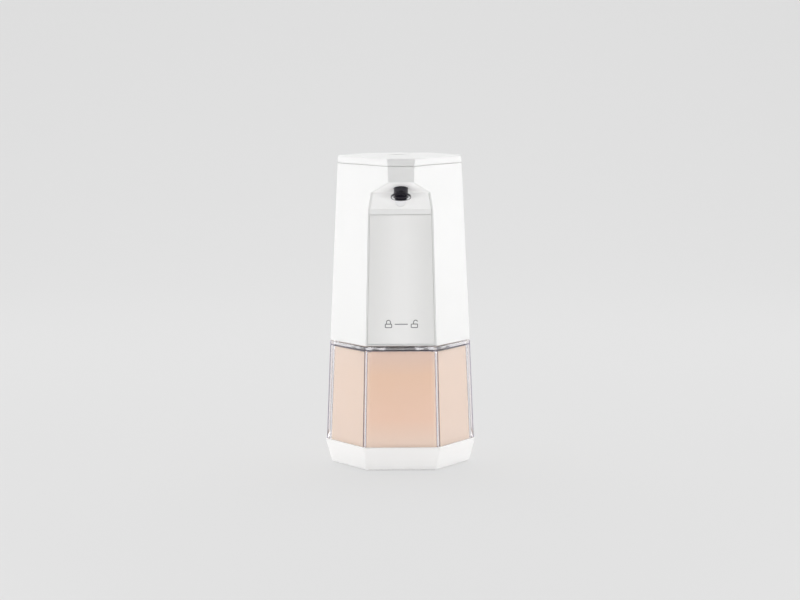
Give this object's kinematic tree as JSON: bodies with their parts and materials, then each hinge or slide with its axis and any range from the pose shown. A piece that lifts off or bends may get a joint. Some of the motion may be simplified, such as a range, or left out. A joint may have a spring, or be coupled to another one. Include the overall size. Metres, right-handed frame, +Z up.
{
  "type": "automatic hand sanitizer dispenser",
  "caption": "Touch-free table dispenser: tapered hexagonal head with a forward nose, downward nozzle and hand sensor, on a clear twist-off bottle in a flared base.",
  "frame": {"origin": "centre of the foot pad's underside on the table, on the axis about which the head twists", "axes": "+Z up, the nose and its nozzle towards -Y, +X to the right for a person who faces the nozzle"},
  "size_m": [0.0946, 0.0958, 0.195],
  "materials": {
    "white_plastic": "satin white moulding",
    "clear_plastic": "clear polished moulding",
    "liquid": "milky peach liquid",
    "black_gloss": "glossy black",
    "window": "translucent pale window",
    "grey_plastic": "satin grey",
    "pale_plastic": "natural moulding",
    "dark_plastic": "black",
    "emitter": "clear lens",
    "dark_rubber": "soft rubber",
    "hose": "milky silicone",
    "red_wire": "insulated wire",
    "black_wire": "insulated wire",
    "yellow_wire": "insulated wire",
    "circuit_board": "green laminate",
    "steel": "plain steel",
    "copper": "wound copper",
    "magnet": "sintered magnet",
    "battery": "wrapped cell"
  },
  "bodies": {
    "bottle": {"base_shell": "white_plastic", "foot_pad": "dark_rubber", "bottle": "clear_plastic", "sanitizer_fill": "liquid"},
    "head": {"neck_gasket": "dark_rubber", "bottle_socket": "white_plastic", "socket_screws": "steel", "dip_tube": "pale_plastic", "inlet_hose": "hose", "head_shell": "white_plastic", "front_panel": "white_plastic", "spout_bezel": "white_plastic", "top_lid": "white_plastic", "tact_switch": "dark_plastic", "switch_board": "circuit_board", "switch_screws": "steel", "nozzle": "black_gloss", "nozzle_ring": "steel", "nozzle_nut": "grey_plastic", "nozzle_elbow": "grey_plastic", "outlet_hose": "hose", "sensor_window": "window", "sensor_board": "circuit_board", "ir_emitter": "emitter", "ir_receiver": "dark_plastic", "sensor_screws": "steel", "chassis": "pale_plastic", "chassis_screws": "steel", "main_board": "circuit_board", "board_components": "dark_plastic", "board_screws": "steel", "charge_socket": "steel", "battery_cell": "battery", "battery_leads": "red_wire", "motor_leads": "black_wire", "sensor_leads": "yellow_wire", "motor_can": "steel", "motor_end_cap": "dark_plastic", "motor_magnets": "magnet", "shaft_seal": "dark_rubber", "pump_body": "pale_plastic", "pump_cover": "pale_plastic", "pump_screws": "steel", "idler_pin": "steel"},
    "button": {"power_button": "white_plastic", "switch_plunger": "dark_plastic"},
    "pump_drive": {"motor_armature": "copper", "motor_shaft": "steel", "drive_gear": "steel"},
    "pump_idler": {"idler_gear": "steel"},
    "port_cover": {"port_cover": "dark_rubber"}
  },
  "joints": [
    {"name": "head_twist", "type": "hinge", "parent": "bottle", "child": "head", "pos_m": [0, 0, 0.085], "axis": [0, 0, 1], "range_deg": [-30, 0]},
    {"name": "button_press", "type": "slide", "parent": "head", "child": "button", "axis": [0, 0, -1], "range_m": [0, 0.0006], "stiffness_N_per_m": 150, "springref_m": -0.002},
    {"name": "drive_spin", "type": "hinge", "parent": "head", "child": "pump_drive", "pos_m": [-0.004, -0.0044, 0.1181], "axis": [0, 0, 1], "continuous": true},
    {"name": "idler_spin", "type": "hinge", "parent": "head", "child": "pump_idler", "pos_m": [0.004, -0.0044, 0.1181], "axis": [0, 0, 1], "continuous": true},
    {"name": "cover_swing", "type": "hinge", "parent": "head", "child": "port_cover", "pos_m": [0, 0.03622, 0.11633], "axis": [1, 0, 0], "range_deg": [0, 90]}
  ],
  "couplings": [
    {"joint": "idler_spin", "follows": "drive_spin", "ratio": -1}
  ]
}
